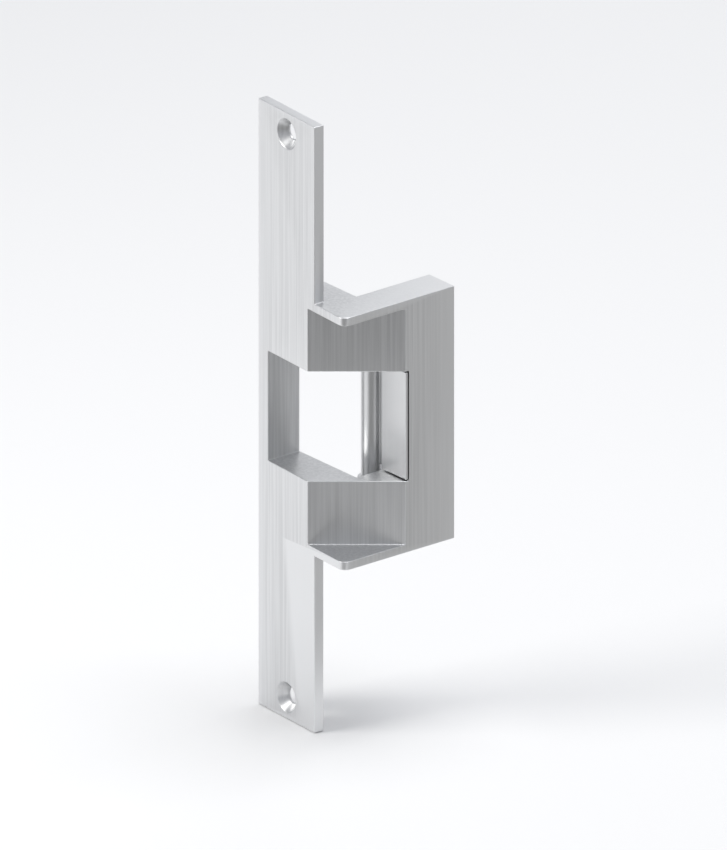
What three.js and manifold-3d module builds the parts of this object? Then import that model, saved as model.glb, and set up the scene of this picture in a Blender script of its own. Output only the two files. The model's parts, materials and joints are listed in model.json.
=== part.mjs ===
// Electric door strike with a full-lip faceplate, built as separate pieces.
// Millimetres, +Z up. Row frame: X across the faceplate towards the lip, Y into the door frame,
// origin at the centre of the faceplate's lower end face.
//
// The strike body is turned by the door's bevel, so its pieces are laid out in a body frame of
// their own: origin at the lip's outer corner at mid height, x across, y into the frame, z up.
import * as THREE from "three";
import * as BufferGeometryUtils from "three/addons/utils/BufferGeometryUtils.js";
import Module from "manifold-3d";

const wasm = await Module();
wasm.setup();

// ---------------------------------------------------------------- driving dimensions
const gap = 0.3; // between pieces that rest on each other
const running = 0.15; // radial clearance of a pin in its hole
const bevel = THREE.MathUtils.degToRad(3.58); // door bevel, 1/8 in in 2 in

const plate = { width: 34, thickness: 4, height: 228.6, holeSpacing: 212.7 };
const screwHole = { headR: 5.7, shankR: 2.9, coneDepth: 3.2 };
const lipReach = 17.5; // from the plate's edge to the lip's outer corner
const block = { height: 95.25, frontDepth: 17.2, sideDepth: 50, sideWidth: 14, left: -50, cornerR: 3 };
const windowCut = { height: 88.9, frontWidth: 21.85, sideDepth: 28.15 };
const pocket = { height: 41.3, left: -45.5 };
const cavity = { wall: 3, skin: 5.2, ceiling: 2.35, left: -47, right: -16.5 };

const pivot = { x: -22, y: 31, pinR: 2.5, knuckleR: 4.2 }; // keeper pin
const keeperPin = { bottom: -30.8, top: 34.4 };
const leaf = {
  front: windowCut.sideDepth,
  back: 34,
  inner: -13.7,
  web: 30.6,
  tip: 0.8,
  bevelRun: 5,
  height: 40.4,
};
const lug = { r: 5.4, upperTop: 23, lowerTop: -26.2, lowerBottom: -29 };
const bush = { outerR: 3.6, innerR: pivot.pinR + running };

const chassis = { bottom: 23.3, thickness: 1.5 };
const chassisTop = chassis.bottom + chassis.thickness;
const deck = chassisTop + gap; // where pieces stand on the chassis
const cover = { left: -47.5, right: -14.4, back: 36.2, top: 35.6, wall: 0.8, chamferX: -33.5, chamferY: 30 };

const cam = { hubR: 4, lobeR: 7.2, bottom: 31.5, top: 33.7, noseAngle: THREE.MathUtils.degToRad(-77.7) };
const lever = {
  x: -32,
  y: 23.5,
  bottom: 31.7,
  top: 33.5,
  hubR: 3,
  turn: THREE.MathUtils.degToRad(17.2), // from released to engaged
  tailWidth: 1.8,
  tailLength: 7.5,
  tailHeadR: 1.4,
};
// the nose points the way it travels about the lever's pivot, beside the keeper pin, so that the
// cam's push on its flank passes through that pivot and doesn't turn the lever
const nose = { width: 2.4, offset: -1.89, tip: 4.6, root: 9.6, clearance: 0.65 };
const leverPin = { r: 1.5, top: 34.5 };
const coil = {
  x: -41.2,
  z: 29.9,
  front: 8.9,
  back: 20.2,
  r: 4.1,
  coreR: 2.9,
  boreR: 2.45,
  flange: 0.8,
  halfWidth: 5.2,
  frameTop: 34.5,
  sheet: 1.1,
};
const plunger = {
  front: 15.6,
  bodyR: 2.2,
  rodR: 1.5,
  collarR: 3,
  collar: 1,
  grooveCentre: 26.3,
  grooveHalf: 1.7,
};
const terminals = { left: -33.5, right: -24.5, front: 7.9, back: 13.5, top: 31 }; // terminal block
const sensor = {
  left: -37.6,
  right: -31.8,
  front: 27.4,
  back: 31.2,
  top: 33.9,
  buttonR: 0.7,
  buttonTip: -29.45,
};
const posts = [[-28.9, 33.3], [-16.9, 21.5]];
const post = { r: 1.8, screwR: 1 };
const chassisScrewPlaces = [[-20.2, 14], [-32.9, 15.7]];

const cornerX = plate.width / 2 + lipReach;
const centreZ = plate.height / 2;
const bodyToRow = new THREE.Matrix4()
  .makeTranslation(cornerX, -plate.thickness / 2, centreZ)
  .multiply(new THREE.Matrix4().makeRotationZ(bevel));

// ---------------------------------------------------------------- materials
const finish = (color, roughness, metalness) =>
  new THREE.MeshStandardMaterial({ color, roughness, metalness });
const stainless = finish(0xd9dadb, 0.3, 1);
const zincSteel = finish(0xbfc4c6, 0.4, 1);
const darkSteel = finish(0x6d7074, 0.35, 1);
const springSteel = finish(0x9a9da0, 0.3, 1);
const brass = finish(0xc9a44c, 0.3, 1);
const blackPlastic = finish(0x1d1e20, 0.5, 0);
const greyPlastic = finish(0x7e8488, 0.5, 0);
const greenPlastic = finish(0x2f7d4f, 0.45, 0);
const amberTape = finish(0xb5772a, 0.4, 0);
const rubber = finish(0x191919, 0.8, 0);
const redWire = finish(0xa02520, 0.5, 0);
const blackWire = finish(0x222222, 0.5, 0);

// ---------------------------------------------------------------- solids
function toSolid(geometry) {
  const bare = geometry.index ? geometry.clone() : geometry;
  for (const name of ["normal", "uv"]) bare.deleteAttribute(name);
  const merged = BufferGeometryUtils.mergeVertices(bare, 1e-4);
  return new wasm.Manifold(new wasm.Mesh({
    numProp: 3,
    vertProperties: new Float32Array(merged.attributes.position.array),
    triVerts: new Uint32Array(merged.index.array),
  }));
}

function toGeometry(solid) {
  const mesh = solid.getMesh();
  const geometry = new THREE.BufferGeometry();
  geometry.setAttribute("position", new THREE.BufferAttribute(mesh.vertProperties, 3));
  geometry.setIndex(new THREE.BufferAttribute(mesh.triVerts, 1));
  geometry.computeVertexNormals();
  return geometry;
}

const join = (...geometries) => geometries.map(toSolid).reduce((sum, each) => sum.add(each));
const cut = (solid, ...geometries) =>
  geometries.map(toSolid).reduce((rest, each) => rest.subtract(each), solid);

// a solid standing on an outline of [x, y] points, from one height to another
function prism(points, from, to) {
  const shape = new THREE.Shape(points.map(([x, y]) => new THREE.Vector2(x, y)));
  return new THREE.ExtrudeGeometry(shape, { depth: to - from, bevelEnabled: false }).translate(0, 0, from);
}

const box = (x0, x1, y0, y1, z0, z1) => prism([[x0, y0], [x1, y0], [x1, y1], [x0, y1]], z0, z1);

// an upright cylinder at (x, y)
function rod(x, y, r, from, to, sides = 32) {
  return new THREE.CylinderGeometry(r, r, to - from, sides)
    .rotateX(Math.PI / 2)
    .translate(x, y, (from + to) / 2);
}

// a solid of revolution about Z from [radius, height] points that close on themselves
function turned(profile, sides = 40) {
  const points = profile.map(([r, z]) => new THREE.Vector2(r, z));
  return new THREE.LatheGeometry([...points, points[0]], sides).rotateX(Math.PI / 2);
}

const ring = (inner, outer, from, to, sides = 40) =>
  turned([[inner, from], [outer, from], [outer, to], [inner, to]], sides);

// lays a part that was turned about Z along the y axis of the solenoid
const alongCoil = (geometry) => geometry.rotateX(-Math.PI / 2).translate(coil.x, 0, coil.z);

function arc(x, y, r, from, to, steps) {
  return Array.from({ length: steps + 1 }, (_, i) => {
    const a = from + ((to - from) * i) / steps;
    return [x + r * Math.cos(a), y + r * Math.sin(a)];
  });
}

// a length of round wire along a path
function wire(path, r, sides, steps) {
  const outline = arc(0, 0, r, 0, 2 * Math.PI, sides).slice(0, sides);
  const section = new THREE.Shape(outline.map(([x, y]) => new THREE.Vector2(x, y)));
  return new THREE.ExtrudeGeometry(section, { steps, extrudePath: path, bevelEnabled: false });
}

// the point of the front face that lies a distance to the left of the lip's outer corner
const onFront = (distance, behind = 0) => [
  -distance * Math.cos(bevel) + behind * Math.sin(bevel),
  distance * Math.sin(bevel) + behind * Math.cos(bevel),
];

// the points that round the outer corner, between the front face and the side face
function roundedCorner() {
  const half = (Math.PI / 2 - bevel) / 2;
  const centre = [-block.cornerR, block.cornerR / Math.tan(half)];
  return arc(centre[0], centre[1], block.cornerR, -Math.PI / 2 - bevel, 0, 6);
}

// a coil spring standing at (x, y), with a straight tangent leg at each end
function torsionSpring(x, y, meanR, wireR, from, to, turns, leg) {
  class Helix extends THREE.Curve {
    getPoint(t, target = new THREE.Vector3()) {
      const legShare = leg / (2 * leg + turns * 2 * Math.PI * meanR);
      const inCoil = THREE.MathUtils.clamp((t - legShare) / (1 - 2 * legShare), 0, 1);
      const a = inCoil * turns * 2 * Math.PI;
      const overrun = t < legShare ? t - legShare : Math.max(0, t - (1 - legShare));
      const reach = (overrun / legShare) * leg;
      return target.set(
        x + meanR * Math.cos(a) - reach * Math.sin(a),
        y + meanR * Math.sin(a) + reach * Math.cos(a),
        from + (to - from) * inCoil,
      );
    }
  }
  return wire(new Helix(), wireR, 6, Math.round(turns * 14) + 8);
}

// ---------------------------------------------------------------- strike casting
function castingSolid() {
  const half = block.height / 2;
  const halfWindow = windowCut.height / 2;
  const halfPocket = pocket.height / 2;
  const outer = [
    onFront(-block.left / Math.cos(bevel)),
    ...roundedCorner(),
    [0, block.sideDepth],
    [-block.sideWidth, block.sideDepth],
    [-block.sideWidth, block.frontDepth],
    [block.left, block.frontDepth],
  ];
  const rampFront = onFront(windowCut.frontWidth);
  const rampBack = [0, windowCut.sideDepth];
  const window = [rampFront, onFront(windowCut.frontWidth, -8), [8, -8], [8, windowCut.sideDepth], rampBack];

  const run = Math.hypot(rampBack[0] - rampFront[0], rampBack[1] - rampFront[1]);
  const along = [(rampBack[0] - rampFront[0]) / run, (rampBack[1] - rampFront[1]) / run];
  const behindRamp = (x) => {
    const start = [rampFront[0] - along[1] * cavity.wall, rampFront[1] + along[0] * cavity.wall];
    return [x, start[1] + ((x - start[0]) * along[1]) / along[0]];
  };
  const behindSkin = (x) => [x, (cavity.skin - x * Math.sin(bevel)) / Math.cos(bevel)];
  const skinMeetsRamp = behindSkin(-21.4);
  const hollow = [
    behindSkin(cavity.left),
    skinMeetsRamp,
    behindRamp(cavity.right),
    [cavity.right, block.frontDepth + 1],
    [cavity.left, block.frontDepth + 1],
  ];
  const lugOutline = [
    [-block.sideWidth + 0.5, pivot.y - 6],
    ...arc(pivot.x, pivot.y, lug.r, -Math.PI / 2, (-3 * Math.PI) / 2, 16),
    [-block.sideWidth + 0.5, pivot.y + 6],
  ].reverse();
  const recess = [
    [-block.sideWidth - 1, leaf.front - 0.2],
    [1, leaf.front - 0.2],
    [1, leaf.front + leaf.tip + 0.4],
    [0, leaf.front + leaf.tip + 0.4],
    [-leaf.bevelRun + 0.2, leaf.back + 0.35],
    [-block.sideWidth - 1, leaf.back + 0.35],
  ];
  const shell = cut(
    join(prism(outer, -half, half)),
    prism(window, -halfWindow, halfWindow),
    box(pocket.left, 12, -12, windowCut.sideDepth, -halfPocket, halfPocket),
    prism(recess, -halfPocket, halfPocket),
    prism(hollow, halfPocket + cavity.ceiling, halfWindow),
    prism(hollow, -halfWindow, -halfPocket - cavity.ceiling),
  );
  const withLugs = shell
    .add(toSolid(prism(lugOutline, halfPocket, lug.upperTop)))
    .add(toSolid(prism(lugOutline, lug.lowerBottom, lug.lowerTop)));
  const drilled = cut(
    withLugs,
    rod(pivot.x, pivot.y, bush.outerR + running, -half, half),
    ...chassisScrewPlaces.map(([x, y]) => rod(x, y, 1.4, halfPocket + 0.6, lug.upperTop + 1, 20)),
  );
  const inRow = toSolid(toGeometry(drilled).applyMatrix4(bodyToRow));

  const w = plate.width / 2;
  const t = plate.thickness / 2;
  const faceplate = toSolid(box(-w, w, -t, t, 0, plate.height));
  const notch = cut(
    faceplate,
    prism(window, -halfWindow, halfWindow).applyMatrix4(bodyToRow),
    box(pocket.left, 12, -12, windowCut.sideDepth, -halfPocket, halfPocket).applyMatrix4(bodyToRow),
  );
  return cut(
    notch.add(inRow),
    ...[-1, 1].map((side) => screwHoleCutter(centreZ + (side * plate.holeSpacing) / 2)),
  );
}

// a countersunk hole through the faceplate at a height
function screwHoleCutter(z) {
  const front = plate.thickness / 2;
  const spare = 0.5;
  const slope = (screwHole.headR - screwHole.shankR) / screwHole.coneDepth;
  return turned([
    [0, -front - 1],
    [screwHole.shankR, -front - 1],
    [screwHole.shankR, front - screwHole.coneDepth],
    [screwHole.headR + spare * slope, front + spare],
    [0, front + spare],
  ], 48).rotateX(Math.PI / 2).translate(0, 0, z);
}

// ---------------------------------------------------------------- keeper and its pin
function keeperSolid() {
  const half = leaf.height / 2;
  const outline = [
    [pivot.x, leaf.web],
    [leaf.inner, leaf.web],
    [leaf.inner, leaf.front],
    [0, leaf.front],
    [0, leaf.front + leaf.tip],
    [-leaf.bevelRun, leaf.back],
    [pivot.x, leaf.back],
  ];
  const body = join(
    prism(outline, -half, half),
    rod(pivot.x, pivot.y, pivot.knuckleR, lug.lowerTop + gap, half + 0.2, 40),
  );
  return cut(body, rod(pivot.x, pivot.y, pivot.pinR + running, -half - 10, half + 10));
}

function lockCamSolid() {
  const margin = nose.width / 2 + nose.clearance;
  const openFace = margin + nose.offset;
  const stopFace = margin - nose.offset;
  const start = Math.asin(openFace / cam.lobeR);
  const end = Math.acos(stopFace / cam.lobeR);
  const lobe = [[stopFace, openFace], ...arc(0, 0, cam.lobeR, start, end, 14)];
  const turn = (geometry) => geometry.rotateZ(cam.noseAngle).translate(pivot.x, pivot.y, 0);
  return cut(
    join(
      turn(prism(lobe, cam.bottom, cam.top)),
      rod(pivot.x, pivot.y, cam.hubR, cam.bottom - gap, cam.top, 40),
    ),
    rod(pivot.x, pivot.y, pivot.pinR + running, 0, 50),
    setScrewShape(1, 6),
  );
}

// the cam's set screw lies along a radius on the cam's plain side
function setScrewShape(r, length) {
  const z = (cam.bottom + cam.top) / 2;
  return new THREE.CylinderGeometry(r, r, length, 20)
    .translate(0, pivot.pinR + 0.35 + length / 2, 0)
    .translate(pivot.x, pivot.y, z);
}

// ---------------------------------------------------------------- lock lever
// drawn in its engaged place, then turned back to its released one
function lockLeverSolid() {
  const direction = [Math.cos(cam.noseAngle), Math.sin(cam.noseAngle)];
  const across = [-direction[1], direction[0]];
  const at = (reach, side) => {
    const beside = nose.offset + (side * nose.width) / 2;
    return [
      pivot.x + direction[0] * reach + across[0] * beside,
      pivot.y + direction[1] * reach + across[1] * beside,
    ];
  };
  const arm = [at(nose.tip, -1), at(nose.tip, 1), at(nose.root + 1.6, 1), at(nose.root + 1.2, -1)];
  const bar = [
    [lever.x, lever.y - lever.hubR + 0.6],
    at(nose.root + 1.6, 1),
    at(nose.root - 1.2, -1),
    [lever.x, lever.y + lever.hubR - 0.8],
  ];
  const release = (geometry) =>
    geometry.translate(-lever.x, -lever.y, 0).rotateZ(-lever.turn).translate(lever.x, lever.y, 0);
  // the tail leans half the lever's turn to one side at rest, and half to the other when engaged
  const tailEnd = [coil.x + 0.1, plunger.grooveCentre];
  const lean = [Math.cos(lever.turn / 2), -Math.sin(lever.turn / 2)];
  const onTail = (distance, side) => [
    tailEnd[0] + lean[0] * distance - (lean[1] * side * lever.tailWidth) / 2,
    tailEnd[1] + lean[1] * distance + (lean[0] * side * lever.tailWidth) / 2,
  ];
  const tail = [onTail(0, -1), onTail(lever.tailLength, -1), onTail(lever.tailLength, 1), onTail(0, 1)];
  const flat = (points) => prism(points, lever.bottom, lever.top);
  return cut(
    join(
      release(flat(arm)),
      release(flat(bar)),
      flat(tail),
      rod(tailEnd[0], tailEnd[1], lever.tailHeadR, lever.bottom, lever.top, 24),
      rod(lever.x, lever.y, lever.hubR, lever.bottom, lever.top),
    ),
    rod(lever.x, lever.y, leverPin.r + running, 0, 50, 28),
  );
}

const leverPinShape = () => rod(lever.x, lever.y, leverPin.r, chassis.bottom, leverPin.top, 28);

// ---------------------------------------------------------------- chassis and cover
function chassisOutline() {
  return [
    [-46.6, 8.8],
    [-22.4, 7.3],
    [-17, 13.8],
    [-17, block.frontDepth + 0.5],
    [cover.right, block.frontDepth + 0.5],
    [cover.right, cover.back],
    [cover.chamferX, cover.back],
    [cover.left + 0.2, cover.chamferY],
    [cover.left + 0.2, block.frontDepth + 0.5],
    [-46.6, block.frontDepth + 0.5],
  ];
}

function chassisSolid() {
  return cut(
    join(prism(chassisOutline(), chassis.bottom, chassisTop)),
    rod(pivot.x, pivot.y, pivot.pinR + 0.4, 0, 50),
    rod(lever.x, lever.y, leverPin.r + running, 0, 50, 28),
    ...chassisScrewPlaces.map(([x, y]) => rod(x, y, 1.4, 0, 50, 20)),
  );
}

function coverSolid() {
  const outline = (inset) => [
    [cover.left + inset, block.frontDepth + gap],
    [cover.right, block.frontDepth + gap],
    [cover.right, cover.back - inset],
    [cover.chamferX + inset * 0.2, cover.back - inset],
    [cover.left + inset, cover.chamferY - inset * 0.8],
  ];
  const inner = outline(cover.wall);
  inner[0] = [inner[0][0], inner[0][1] - 1];
  inner[1] = [inner[1][0] + 1, inner[1][1] - 1];
  inner[2] = [inner[2][0] + 1, inner[2][1]];
  return cut(
    join(prism(outline(0), deck, cover.top)),
    prism(inner, deck - 1, cover.top - cover.wall),
    ...posts.map(([x, y]) => rod(x, y, post.screwR + 0.3, 0, 50, 20)),
    grommetShape(2.3, -1, 1),
  );
}

// lies across the cover's left wall
function grommetShape(r, from, to) {
  return new THREE.CylinderGeometry(r, r, to - from + cover.wall, 28)
    .rotateZ(Math.PI / 2)
    .translate(cover.left + (cover.wall + from + to) / 2, 24, 30);
}

function screwShape([x, y], headR, headHeight, shankR, seat, length) {
  const head = turned([
    [0, 0],
    [headR, 0],
    [headR, headHeight * 0.6],
    [headR * 0.7, headHeight],
    [0, headHeight],
  ], 28).translate(x, y, seat);
  const slot = box(x - headR, x + headR, y - 0.3, y + 0.3, seat + headHeight * 0.5, seat + headHeight + 1);
  return cut(join(head, rod(x, y, shankR, seat - length, seat + 0.2, 20)), slot);
}

// ---------------------------------------------------------------- solenoid
function solenoidFrameSolid() {
  const [left, right] = [coil.x - coil.halfWidth, coil.x + coil.halfWidth];
  return cut(
    join(
      box(left, right, coil.front, coil.back, deck, deck + 0.7),
      box(left, right, coil.front, coil.front + coil.sheet, deck, coil.frameTop),
      box(left, right, coil.back - coil.sheet, coil.back, deck, coil.frameTop),
    ),
    alongCoil(rod(0, 0, plunger.bodyR + running, coil.back - coil.sheet - 1, coil.back + 1)),
    alongCoil(rod(0, 0, 1.4, coil.front - 1, coil.front + coil.sheet + 1, 24)),
  );
}

function bobbinGeometry() {
  const [from, to] = [coil.front + coil.sheet + 0.15, coil.back - coil.sheet - 0.15];
  return alongCoil(turned([
    [coil.boreR, from],
    [coil.r, from],
    [coil.r, from + coil.flange],
    [coil.coreR, from + coil.flange],
    [coil.coreR, to - coil.flange],
    [coil.r, to - coil.flange],
    [coil.r, to],
    [coil.boreR, to],
  ]));
}

function windingGeometry() {
  const [from, to] = [coil.front + coil.sheet + 1.1, coil.back - coil.sheet - 1.1];
  return alongCoil(ring(coil.coreR + 0.15, coil.r - 0.15, from, to));
}

const coreGeometry = () => alongCoil(turned([
  [0, coil.front - 0.3],
  [1.25, coil.front - 0.3],
  [1.25, coil.front + coil.sheet + 0.2],
  [plunger.bodyR, coil.front + coil.sheet + 0.2],
  [plunger.bodyR, coil.front + 3.4],
  [0, coil.front + 3.4],
]));

function plungerGeometry() {
  const inner = plunger.grooveCentre - plunger.grooveHalf;
  const outer = plunger.grooveCentre + plunger.grooveHalf;
  return alongCoil(turned([
    [0, plunger.front],
    [plunger.bodyR, plunger.front],
    [plunger.bodyR, inner - plunger.collar],
    [plunger.collarR, inner - plunger.collar],
    [plunger.collarR, inner],
    [plunger.rodR, inner],
    [plunger.rodR, outer],
    [plunger.collarR, outer],
    [plunger.collarR, outer + plunger.collar],
    [0, outer + plunger.collar],
  ]));
}

// ---------------------------------------------------------------- terminals, leads, status switch
const poles = [terminals.left + 2.3, terminals.right - 2.3];
const entryZ = deck + 2.6;
const screwY = terminals.front + 2.4;

const entryHole = () => rod(0, 0, 1.1, 0, 4, 20).rotateX(-Math.PI / 2);

function terminalBlockSolid() {
  return cut(
    join(box(terminals.left, terminals.right, terminals.front, terminals.back, deck, terminals.top)),
    ...poles.map((x) => rod(x, screwY, 1.6, terminals.top - 2.4, terminals.top + 1, 24)),
    ...poles.map((x) => entryHole().translate(x, terminals.back - 3, entryZ)),
  );
}

const terminalScrewSolid = (x) => cut(
  join(rod(x, screwY, 1.4, terminals.top - 2.2, terminals.top - 0.6, 24)),
  box(x - 2, x + 2, screwY - 0.25, screwY + 0.25, terminals.top - 1.1, terminals.top),
);

// a coil lead runs from the winding's side into its own terminal
function leadGeometry(x, startZ) {
  const route = new THREE.CatmullRomCurve3([
    new THREE.Vector3(coil.x + 4.2, 16.6, startZ),
    new THREE.Vector3(coil.x + 6.2, 17.2, startZ),
    new THREE.Vector3(x - 2.2, 17.4, (startZ + entryZ + 0.4) / 2),
    new THREE.Vector3(x - 0.3, 16.4, entryZ + 0.1),
    new THREE.Vector3(x, terminals.back + 0.6, entryZ),
    new THREE.Vector3(x, terminals.back - 2, entryZ),
  ]);
  return wire(route, 0.5, 8, 22);
}

const sensorMiddle = (sensor.front + sensor.back) / 2;
const buttonZ = (cam.bottom + cam.top) / 2;

function buttonShape(r, from, to) {
  return new THREE.CylinderGeometry(r, r, to - from, 20)
    .rotateZ(Math.PI / 2)
    .translate((from + to) / 2, sensorMiddle, buttonZ);
}

const switchBodySolid = () => cut(
  join(box(sensor.left, sensor.right, sensor.front, sensor.back, deck, sensor.top)),
  buttonShape(sensor.buttonR + running, sensor.right - 2.6, sensor.right + 1),
);

// ---------------------------------------------------------------- the assembly
const strike = new THREE.Group();
const turnedBody = new THREE.Group();
turnedBody.position.set(cornerX, -plate.thickness / 2, centreZ);
turnedBody.rotation.z = bevel;
strike.add(turnedBody);

function place(parent, name, shape, material) {
  const geometry = shape.isBufferGeometry ? shape : toGeometry(shape);
  const mesh = new THREE.Mesh(geometry, material);
  mesh.name = name;
  parent.add(mesh);
}

place(strike, "strike_casting", castingSolid(), stainless);

place(turnedBody, "keeper", keeperSolid(), stainless);
place(turnedBody, "keeper_pin",
  rod(pivot.x, pivot.y, pivot.pinR, keeperPin.bottom, keeperPin.top, 36), darkSteel);
place(turnedBody, "lock_cam", lockCamSolid(), darkSteel);
place(turnedBody, "cam_set_screw", setScrewShape(0.85, 1.1), darkSteel);
place(turnedBody, "pin_clip",
  ring(bush.innerR, 4.4, -30.1, -29.3).translate(pivot.x, pivot.y, 0), springSteel);
place(turnedBody, "upper_bush",
  ring(bush.innerR, bush.outerR, 20.9, 22.9).translate(pivot.x, pivot.y, 0), brass);
place(turnedBody, "lower_bush",
  ring(bush.innerR, bush.outerR, -28.8, -26.4).translate(pivot.x, pivot.y, 0), brass);
place(turnedBody, "keeper_spring",
  torsionSpring(pivot.x, pivot.y, 3.5, 0.4, deck + 0.5, cam.bottom - 0.9, 4, 3), springSteel);

place(turnedBody, "chassis_plate", chassisSolid(), zincSteel);
chassisScrewPlaces.forEach((at, i) => {
  place(turnedBody, `chassis_screw_${i + 1}`, screwShape(at, 2.2, 1.5, 1.2, deck, 3.4), zincSteel);
});
place(turnedBody, "solenoid_frame", solenoidFrameSolid(), zincSteel);
place(turnedBody, "coil_bobbin", bobbinGeometry(), blackPlastic);
place(turnedBody, "coil_winding", windingGeometry(), amberTape);
place(turnedBody, "fixed_core", coreGeometry(), darkSteel);
place(turnedBody, "plunger", plungerGeometry(), darkSteel);
place(turnedBody, "lock_lever", lockLeverSolid(), zincSteel);
place(turnedBody, "lever_pivot_pin", leverPinShape(), darkSteel);
place(turnedBody, "lever_spacer",
  ring(leverPin.r + running, 2.3, deck, lever.bottom - 0.2).translate(lever.x, lever.y, 0), brass);
place(turnedBody, "lever_clip",
  ring(leverPin.r + running, 2.9, lever.top + 0.2, lever.top + 0.7).translate(lever.x, lever.y, 0),
  springSteel);
place(turnedBody, "lever_spring",
  torsionSpring(lever.x, lever.y, 2.95, 0.3, deck + 0.5, lever.bottom - 0.8, 4, 2.5), springSteel);
place(turnedBody, "switch_body", switchBodySolid(), blackPlastic);
place(turnedBody, "switch_button",
  buttonShape(sensor.buttonR, sensor.right - 1.6, sensor.buttonTip), greyPlastic);
place(turnedBody, "terminal_block", terminalBlockSolid(), greenPlastic);
poles.forEach((x, i) => place(turnedBody, `terminal_screw_${i + 1}`, terminalScrewSolid(x), zincSteel));
place(turnedBody, "coil_lead_red", leadGeometry(poles[0], 29.2), redWire);
place(turnedBody, "coil_lead_black", leadGeometry(poles[1], 30.6), blackWire);
place(turnedBody, "mechanism_cover", coverSolid(), zincSteel);
posts.forEach(([x, y], i) => {
  const standoff = cut(
    join(rod(x, y, post.r, deck, cover.top - cover.wall - gap, 6)),
    rod(x, y, post.screwR + running, deck + 2, 50, 20),
  );
  place(turnedBody, `cover_post_${i + 1}`, standoff, brass);
  place(turnedBody, `cover_screw_${i + 1}`,
    screwShape([x, y], 2, 1.3, post.screwR, cover.top + gap, 6), zincSteel);
});
place(turnedBody, "wire_grommet", cut(
  join(
    grommetShape(2.1, -0.9, 0.9),
    grommetShape(3, -0.9, -cover.wall - gap),
    grommetShape(3, cover.wall + gap, 0.9),
  ),
  grommetShape(1.2, -3, 3),
), rubber);

export default strike;
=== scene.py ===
"""Looks for the electric door strike: camera, studio, materials and fine pieces round the CAD frame."""
import json
import math

import bpy
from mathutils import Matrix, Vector


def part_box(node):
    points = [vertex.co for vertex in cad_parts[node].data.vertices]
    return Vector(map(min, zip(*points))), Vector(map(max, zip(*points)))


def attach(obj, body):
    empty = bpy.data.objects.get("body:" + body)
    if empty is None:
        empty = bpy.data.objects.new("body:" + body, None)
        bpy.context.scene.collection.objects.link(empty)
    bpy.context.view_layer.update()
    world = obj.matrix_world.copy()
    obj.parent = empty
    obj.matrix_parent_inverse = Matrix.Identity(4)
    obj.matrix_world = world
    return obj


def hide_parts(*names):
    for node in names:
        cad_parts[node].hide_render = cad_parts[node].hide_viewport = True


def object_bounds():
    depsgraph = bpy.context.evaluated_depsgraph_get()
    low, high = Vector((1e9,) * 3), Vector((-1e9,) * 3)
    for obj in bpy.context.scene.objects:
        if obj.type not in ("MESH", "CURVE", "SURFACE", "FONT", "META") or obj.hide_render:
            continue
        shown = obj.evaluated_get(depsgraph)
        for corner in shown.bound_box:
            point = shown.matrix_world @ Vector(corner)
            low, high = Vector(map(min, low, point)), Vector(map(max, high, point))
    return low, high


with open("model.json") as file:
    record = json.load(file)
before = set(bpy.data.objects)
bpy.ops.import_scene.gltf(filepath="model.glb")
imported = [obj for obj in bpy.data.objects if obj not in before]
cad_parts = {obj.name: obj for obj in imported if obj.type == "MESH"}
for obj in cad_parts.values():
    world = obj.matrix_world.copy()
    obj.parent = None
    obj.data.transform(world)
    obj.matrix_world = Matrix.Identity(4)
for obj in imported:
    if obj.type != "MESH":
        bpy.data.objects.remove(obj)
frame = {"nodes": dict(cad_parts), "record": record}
nodes = frame["nodes"]
MM = 0.001

# the CAD box; its bottom sets the height of the floor and the cards
cad_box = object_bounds()

# the turn of the strike's body about Z, which is the door's bevel
BEVEL = math.radians(3.58)
ACROSS = Vector((math.cos(BEVEL), math.sin(BEVEL), 0))
INWARD = Vector((-math.sin(BEVEL), math.cos(BEVEL), 0))
UP = Vector((0, 0, 1))


# ------------------------------------------------------------------ camera
def make_camera():
    """A parallel view from the lip's side, a little above the horizon."""
    azimuth, elevation = math.radians(54.59), math.radians(22.115)
    view_height = 0.2972
    aim_across, aim_above = 0.02536, 0.10214  # from the frame's origin, in the picture plane
    distance = 1.2
    back = Vector((
        math.sin(azimuth) * math.cos(elevation),
        -math.cos(azimuth) * math.cos(elevation),
        math.sin(elevation),
    ))
    right = Vector((math.cos(azimuth), math.sin(azimuth), 0))
    upward = back.cross(right)
    camera_data = bpy.data.cameras.new("view")
    camera_data.type = "ORTHO"
    camera_data.ortho_scale = view_height
    camera_data.clip_end = 20
    camera = bpy.data.objects.new("view", camera_data)
    camera.location = right * aim_across + upward * aim_above + back * distance
    camera.rotation_euler = (-back).to_track_quat("-Z", "Y").to_euler()
    bpy.context.scene.collection.objects.link(camera)
    bpy.context.scene.camera = camera


# ------------------------------------------------------------------ studio
def make_light(name, place, aim, size, power, tint=(1, 1, 1)):
    light_data = bpy.data.lights.new(name, "AREA")
    light_data.shape = "RECTANGLE"
    light_data.size, light_data.size_y = size
    light_data.energy = power
    light_data.color = tint
    light = bpy.data.objects.new(name, light_data)
    light.location = place
    direction = Vector(aim) - Vector(place)
    light.rotation_euler = direction.to_track_quat("-Z", "Y").to_euler()
    bpy.context.scene.collection.objects.link(light)


def make_sheet(name, left, right, front, back, height):
    """A level rectangle with a material of its own; returns it with the material's shader."""
    mesh = bpy.data.meshes.new(name)
    corners = [(left, front, 0), (right, front, 0), (right, back, 0), (left, back, 0)]
    mesh.from_pydata(corners, [], [(0, 1, 2, 3)])
    sheet = bpy.data.objects.new(name, mesh)
    sheet.location.z = height
    bpy.context.scene.collection.objects.link(sheet)
    material = bpy.data.materials.new(name)
    material.use_nodes = True
    mesh.materials.append(material)
    return sheet, material.node_tree.nodes["Principled BSDF"]


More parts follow.
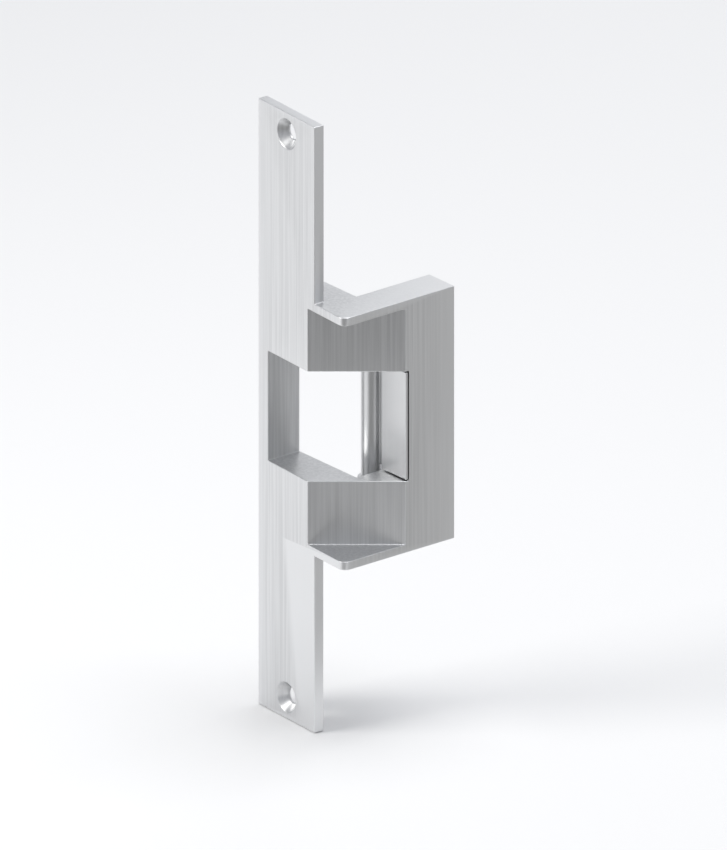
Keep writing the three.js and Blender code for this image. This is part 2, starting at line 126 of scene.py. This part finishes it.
def make_card(name, left, right, front, back, brightness):
    """A glowing card lying on the floor that only reflections show."""
    card, shader = make_sheet(name, left, right, front, back, cad_box[0].z)
    card.visible_camera = False
    card.visible_diffuse = False
    card.visible_transmission = False
    card.visible_shadow = False
    shader.inputs["Base Color"].default_value = (0, 0, 0, 1)
    shader.inputs["Specular IOR Level"].default_value = 0
    shader.inputs["Emission Color"].default_value = (brightness, brightness, brightness, 1)
    shader.inputs["Emission Strength"].default_value = 1


def make_studio():
    scene = bpy.context.scene
    scene.view_settings.view_transform = "Standard"
    scene.view_settings.look = "None"
    world = bpy.data.worlds.new("studio")
    world.use_nodes = True
    backdrop = world.node_tree.nodes["Background"]
    backdrop.inputs["Color"].default_value = (0.93, 0.95, 1.0, 1)
    backdrop.inputs["Strength"].default_value = 0.5
    scene.world = world
    middle = (0.01, 0.02, 0.115)
    make_light("key", (-0.35, -0.95, 0.75), middle, (0.55, 0.55), 6.2, (1, 0.985, 0.96))
    make_light("side", (1.0, 0.25, 0.4), middle, (0.4, 0.7), 0.4, (0.95, 0.975, 1))
    make_light("top", (0.1, 0.2, 1.3), middle, (0.7, 0.7), 7.4)
    make_light("behind", (-0.7, 0.9, 0.6), middle, (0.6, 0.6), 1.2)

    half = 4
    floor, shader = make_sheet("floor", -half, half, -half, half, cad_box[0].z - 0.2 * MM)
    shader.inputs["Base Color"].default_value = (0.9, 0.9, 0.9, 1)
    shader.inputs["Roughness"].default_value = 0.9
    shader.inputs["Specular IOR Level"].default_value = 0.1

    # the ramps reflect the first card and the side face the second, which sets them off
    # from the front face
    near, far = 0.06, 1.5
    make_card("ramp_card", near, far, -far, -near, 0.3)
    make_card("side_card", near, far, 0, far, 0.5)


# ------------------------------------------------------------------ materials
class Finish:
    """A Principled material with short calls for the procedural nodes that it is built from."""

    def __init__(self, name, color, roughness, metallic=0.0, **sockets):
        self.material = bpy.data.materials.new(name)
        self.material.use_nodes = True
        self.tree = self.material.node_tree
        self.shader = self.tree.nodes["Principled BSDF"]
        self.shader.inputs["Base Color"].default_value = (*color, 1)
        self.shader.inputs["Roughness"].default_value = roughness
        self.shader.inputs["Metallic"].default_value = metallic
        for socket, value in sockets.items():
            self.shader.inputs[socket.replace("_", " ")].default_value = value
        self.place = self.node("ShaderNodeTexCoord").outputs["Object"]
        self.normal = None

    def node(self, kind, **inputs):
        made = self.tree.nodes.new(kind)
        for socket, value in inputs.items():
            self.feed(made.inputs[socket.replace("_", " ")], value)
        return made

    def feed(self, socket, value):
        if isinstance(value, bpy.types.NodeSocket):
            self.tree.links.new(value, socket)
        else:
            socket.default_value = value

    def stretched(self, scale):
        return self.node("ShaderNodeMapping", Vector=self.place, Scale=scale).outputs["Vector"]

    def noise(self, scale, stretch=(1, 1, 1), detail=4.0, rough=0.55):
        made = self.node("ShaderNodeTexNoise", Vector=self.stretched(stretch), Scale=scale,
                         Detail=detail, Roughness=rough)
        return made.outputs["Fac"]

    def cells(self, scale):
        return self.node("ShaderNodeTexVoronoi", Vector=self.place, Scale=scale).outputs["Color"]

    def waves(self, scale, distortion):
        """Bands stacked along Z."""
        made = self.node("ShaderNodeTexWave", Vector=self.place, Scale=scale, Distortion=distortion)
        made.bands_direction = "Z"
        return made.outputs["Fac"]

    def ramp(self, value, low, high):
        """A 0 to 1 value stretched straight over another range."""
        made = self.node("ShaderNodeMapRange", Value=value)
        made.inputs["To Min"].default_value = low
        made.inputs["To Max"].default_value = high
        return made.outputs["Result"]

    def window(self, value, start, end, low=0.0, high=1.0):
        """A smooth step from low to high as the value passes from start to end."""
        made = self.node("ShaderNodeMapRange", Value=value)
        made.interpolation_type = "SMOOTHSTEP"
        for socket, number in zip(("From Min", "From Max", "To Min", "To Max"), (start, end, low, high)):
            made.inputs[socket].default_value = number
        return made.outputs["Result"]

    def mix(self, share, first, second):
        made = self.tree.nodes.new("ShaderNodeMix")
        made.data_type = "RGBA"
        self.feed(made.inputs["Factor"], share)
        for socket, value in (("A", first), ("B", second)):
            color = value if isinstance(value, bpy.types.NodeSocket) else (*value, 1)
            self.feed([s for s in made.inputs if s.name == socket and s.type == "RGBA"][0], color)
        return [s for s in made.outputs if s.type == "RGBA"][0]

    def add(self, first, second):
        made = self.tree.nodes.new("ShaderNodeMath")
        made.operation = "ADD"
        self.feed(made.inputs[0], first)
        self.feed(made.inputs[1], second)
        return made.outputs[0]

    def bump(self, height, strength, depth):
        made = self.node("ShaderNodeBump", Height=height, Strength=strength, Distance=depth)
        if self.normal is not None:
            self.tree.links.new(self.normal, made.inputs["Normal"])
        self.normal = made.outputs["Normal"]
        self.tree.links.new(self.normal, self.shader.inputs["Normal"])

    def edges(self):
        """Painted highlight: a lighter colour on convex edges, standing in for light catching them."""
        pointed = self.node("ShaderNodeNewGeometry").outputs["Pointiness"]
        return self.window(pointed, 0.51, 0.56)

    def color(self, socket):
        self.tree.links.new(socket, self.shader.inputs["Base Color"])

    def roughness(self, socket):
        self.tree.links.new(socket, self.shader.inputs["Roughness"])


def brushed(name, light, dark, rough):
    """Satin steel: long fine upright scratches, soft smudges, edges painted bright as a highlight."""
    steel = Finish(name, light, rough, 1.0)
    grain = 0.16
    upright = (900, 900, 14)
    lines = steel.noise(1.0, upright, 3.0, 0.6)
    coarse = steel.noise(1.0, tuple(v * 0.22 for v in upright), 2.0)
    smudge = steel.noise(38.0, detail=3.0)
    tone = steel.mix(steel.window(lines, 0.3, 0.72), dark, light)
    tone = steel.mix(steel.window(smudge, 0.58, 0.9, 0, 0.35), tone, tuple(c * 0.86 for c in light))
    # painted highlight: convex edges painted lighter than the steel
    tone = steel.mix(steel.edges(), tone, tuple(min(1, c * 1.06) for c in light))
    steel.color(tone)
    scratched = steel.ramp(lines, rough - 0.07, rough + 0.09)
    steel.roughness(steel.add(scratched, steel.ramp(smudge, -0.05, 0.07)))
    steel.bump(lines, grain, 0.03 * MM)
    steel.bump(coarse, grain * 0.6, 0.05 * MM)
    return steel.material


def zinc_plated():
    """Pressed sheet in clear zinc: faint spangle, a blue and straw tint, dull handling marks."""
    zinc = Finish("zinc_plated", (0.7, 0.73, 0.75), 0.36, 1.0)
    spangle = zinc.cells(420.0)
    shade = zinc.node("ShaderNodeRGBToBW", Color=spangle).outputs["Val"]
    cloud = zinc.noise(90.0, detail=4.0)
    tone = zinc.mix(zinc.window(shade, 0.2, 0.8), (0.62, 0.66, 0.69), (0.75, 0.77, 0.77))
    tone = zinc.mix(zinc.window(cloud, 0.5, 0.8, 0, 0.4), tone, (0.73, 0.71, 0.6))
    # painted highlight: convex edges painted paler than the zinc
    tone = zinc.mix(zinc.edges(), tone, (0.85, 0.86, 0.87))
    zinc.color(tone)
    zinc.roughness(zinc.add(zinc.ramp(shade, 0.28, 0.4), zinc.ramp(cloud, -0.04, 0.1)))
    zinc.bump(cloud, 0.12, 0.05 * MM)
    return zinc.material


def hardened_steel():
    """Ground and oiled steel: fine rings from grinding, brown oil in patches."""
    dark = Finish("hardened_steel", (0.36, 0.37, 0.39), 0.3, 1.0)
    rings = dark.waves(900.0, 1.5)
    oil = dark.noise(160.0, detail=5.0)
    tone = dark.mix(dark.window(rings, 0.2, 0.8), (0.3, 0.31, 0.33), (0.43, 0.44, 0.46))
    tone = dark.mix(dark.window(oil, 0.55, 0.8, 0, 0.6), tone, (0.27, 0.24, 0.2))
    # painted highlight: convex edges painted much lighter than the dark steel
    tone = dark.mix(dark.edges(), tone, (0.62, 0.63, 0.65))
    dark.color(tone)
    dark.roughness(dark.ramp(oil, 0.22, 0.42))
    dark.bump(rings, 0.14, 0.02 * MM)
    return dark.material


def spring_wire():
    """Drawn wire, a little uneven in tone and shine."""
    wire = Finish("spring_wire", (0.56, 0.57, 0.58), 0.26, 1.0)
    draw = wire.noise(500.0, (1, 1, 3))
    wire.color(wire.mix(wire.window(draw, 0.35, 0.7), (0.46, 0.47, 0.48), (0.66, 0.67, 0.68)))
    wire.roughness(wire.ramp(draw, 0.2, 0.36))
    wire.bump(draw, 0.08, 0.02 * MM)
    return wire.material


def turned_brass():
    """Brass with fine turning rings and brown tarnish in patches."""
    brass = Finish("turned_brass", (0.76, 0.58, 0.26), 0.3, 1.0)
    rings = brass.waves(1100.0, 0.8)
    tarnish = brass.noise(220.0, detail=5.0)
    tone = brass.mix(brass.window(rings, 0.2, 0.8), (0.68, 0.5, 0.22), (0.82, 0.65, 0.32))
    tone = brass.mix(brass.window(tarnish, 0.55, 0.85, 0, 0.6), tone, (0.45, 0.3, 0.13))
    brass.color(tone)
    brass.roughness(brass.ramp(tarnish, 0.22, 0.46))
    brass.bump(rings, 0.12, 0.02 * MM)
    return brass.material


def moulded(name, color, rough):
    """Moulded plastic or rubber: fine spark-eroded grain, faint flow marks and a painted highlight on
    the edges.
    """
    plastic = Finish(name, color, rough, 0.0)
    grain = plastic.noise(2600.0, detail=2.0)
    flow = plastic.noise(130.0, (1, 1, 0.4), 3.0)
    pale = tuple(min(1.0, c * 1.5 + 0.02) for c in color)
    tone = plastic.mix(plastic.window(flow, 0.4, 0.8, 0, 0.4), color, pale)
    # painted highlight: convex edges painted paler than the plastic
    tone = plastic.mix(plastic.edges(), tone, tuple(min(1.0, c * 1.8 + 0.03) for c in color))
    plastic.color(tone)
    plastic.roughness(plastic.ramp(grain, rough - 0.08, rough + 0.1))
    plastic.bump(grain, 0.22, 0.03 * MM)
    return plastic.material


def coil_tape():
    """Clear amber tape over copper turns."""
    tape = Finish("coil_tape", (0.55, 0.25, 0.05), 0.28, 0.0, Coat_Weight=0.6, Coat_Roughness=0.15)
    lap = tape.noise(300.0, detail=3.0)
    tone = tape.mix(tape.window(lap, 0.35, 0.7), (0.42, 0.17, 0.03), (0.68, 0.34, 0.08))
    tape.color(tone)
    tape.roughness(tape.ramp(lap, 0.2, 0.4))
    tape.bump(lap, 0.2, 0.04 * MM)
    return tape.material


def make_materials():
    return {
        "casting": brushed("satin_casting", (0.74, 0.745, 0.75), (0.63, 0.635, 0.64), 0.36),
        "keeper": brushed("satin_keeper", (0.68, 0.685, 0.69), (0.56, 0.565, 0.57), 0.3),
        "dark_steel": hardened_steel(),
        "spring_steel": spring_wire(),
        "zinc_steel": zinc_plated(),
        "brass": turned_brass(),
        "black_plastic": moulded("black_nylon", (0.022, 0.022, 0.025), 0.45),
        "grey_plastic": moulded("grey_acetal", (0.42, 0.44, 0.45), 0.4),
        "terminal_green": moulded("green_nylon", (0.04, 0.27, 0.12), 0.42),
        "coil_tape": coil_tape(),
        "red_wire": moulded("red_insulation", (0.5, 0.03, 0.02), 0.36),
        "black_wire": moulded("black_insulation", (0.02, 0.02, 0.022), 0.36),
        "rubber": moulded("soft_rubber", (0.018, 0.018, 0.018), 0.72),
    }


# ------------------------------------------------------------------ surfaces of the CAD nodes
def soften(obj, width):
    """Rounds the edges of a faceted solid and smooths its round faces."""
    stored = obj.data.attributes.get("custom_normal")
    if stored is not None:
        obj.data.attributes.remove(stored)
    for polygon in obj.data.polygons:
        polygon.use_smooth = True
    weld = obj.modifiers.new("weld", "WELD")
    weld.merge_threshold = 0.002 * MM
    flat = obj.modifiers.new("flat", "DECIMATE")
    flat.decimate_type = "DISSOLVE"
    flat.angle_limit = math.radians(0.6)
    edge = obj.modifiers.new("edge", "BEVEL")
    edge.width = width
    edge.segments = 3
    edge.limit_method = "ANGLE"
    edge.angle_limit = math.radians(34)
    edge.use_clamp_overlap = False
    even = obj.modifiers.new("even", "WEIGHTED_NORMAL")
    even.weight = 100


# in millimetres
EDGE_WIDTHS = {"strike_casting": 0.35, "keeper": 0.3, "mechanism_cover": 0.18, "chassis_plate": 0.15}
SMALL_EDGE = 0.1


def dress_nodes(materials):
    slots = {row["node"]: row["material_slot"] for row in frame["record"]["subparts"]}
    for name, obj in nodes.items():
        obj.data.materials.clear()
        obj.data.materials.append(materials[slots[name]])
        soften(obj, EDGE_WIDTHS.get(name, SMALL_EDGE) * MM)


# ------------------------------------------------------------------ fine pieces
def centre_of(name):
    low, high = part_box(name)
    return (low + high) / 2


def wire_piece(name, points, radius, materials, slot_name, body):
    """A round wire along points, as a mesh."""
    curve = bpy.data.curves.new(name, "CURVE")
    curve.dimensions = "3D"
    curve.bevel_depth = radius
    curve.bevel_resolution = 5
    curve.use_fill_caps = True
    spline = curve.splines.new("POLY")
    spline.points.add(len(points) - 1)
    for point, place in zip(spline.points, points):
        point.co = (*place, 1)
    holder = bpy.data.objects.new(name + "_path", curve)
    bpy.context.scene.collection.objects.link(holder)
    bpy.context.view_layer.update()
    depsgraph = bpy.context.evaluated_depsgraph_get()
    mesh = bpy.data.meshes.new_from_object(holder.evaluated_get(depsgraph))
    bpy.data.objects.remove(holder)
    piece = bpy.data.objects.new(name, mesh)
    bpy.context.scene.collection.objects.link(piece)
    mesh.materials.clear()
    mesh.materials.append(materials[slot_name])
    for polygon in mesh.polygons:
        polygon.use_smooth = True
    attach(piece, body)
    return piece


def spring_points(axis_node, spring_node, mean_radius, wire_radius, turns, leg):
    """A torsion spring's centreline, with a straight tangent leg at each end."""
    axis = centre_of(axis_node)
    low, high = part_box(spring_node)
    bottom, top = low.z + wire_radius, high.z - wire_radius
    steps = turns * 40
    points = []
    for i in range(steps + 1):
        angle = BEVEL + turns * 2 * math.pi * i / steps
        height = bottom + (top - bottom) * i / steps
        points.append(Vector((
            axis.x + mean_radius * math.cos(angle), axis.y + mean_radius * math.sin(angle), height)))
    return [points[0] - INWARD * leg, *points, points[-1] + INWARD * leg]


def make_spring(node, pin, mean_radius, wire_radius, leg, materials):
    """A wound wire in place of the spring's plainer CAD solid."""
    line = spring_points(pin, node, mean_radius, wire_radius, 4, leg)
    spring = wire_piece(node + "_wire", line, wire_radius, materials, "spring_steel", "root")
    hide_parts(node)


def make_winding(materials):
    """The coil's outer layer of turns under its tape, from flange to flange."""
    low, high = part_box("coil_winding")
    centre = (low + high) / 2
    radius = (high.z - low.z) / 2
    wire = 0.2 * MM
    span = 6.9 * MM  # between the bobbin's flanges
    pitch = 2.1 * wire
    turns = int(span / pitch)
    steps = turns * 28
    line = []
    for i in range(steps + 1):
        angle = 2 * math.pi * turns * i / steps
        out = ACROSS * math.cos(angle) + UP * math.sin(angle)
        line.append(centre + out * (radius - wire) + INWARD * (span * (i / steps - 0.5)))
    wire_piece("coil_turns", line, wire, materials, "coil_tape", "root")


make_camera()
make_studio()
finishes = make_materials()
dress_nodes(finishes)
make_spring("keeper_spring", "keeper_pin", 3.5 * MM, 0.4 * MM, 3 * MM, finishes)
make_spring("lever_spring", "lever_pivot_pin", 2.95 * MM, 0.3 * MM, 2.5 * MM, finishes)
make_winding(finishes)
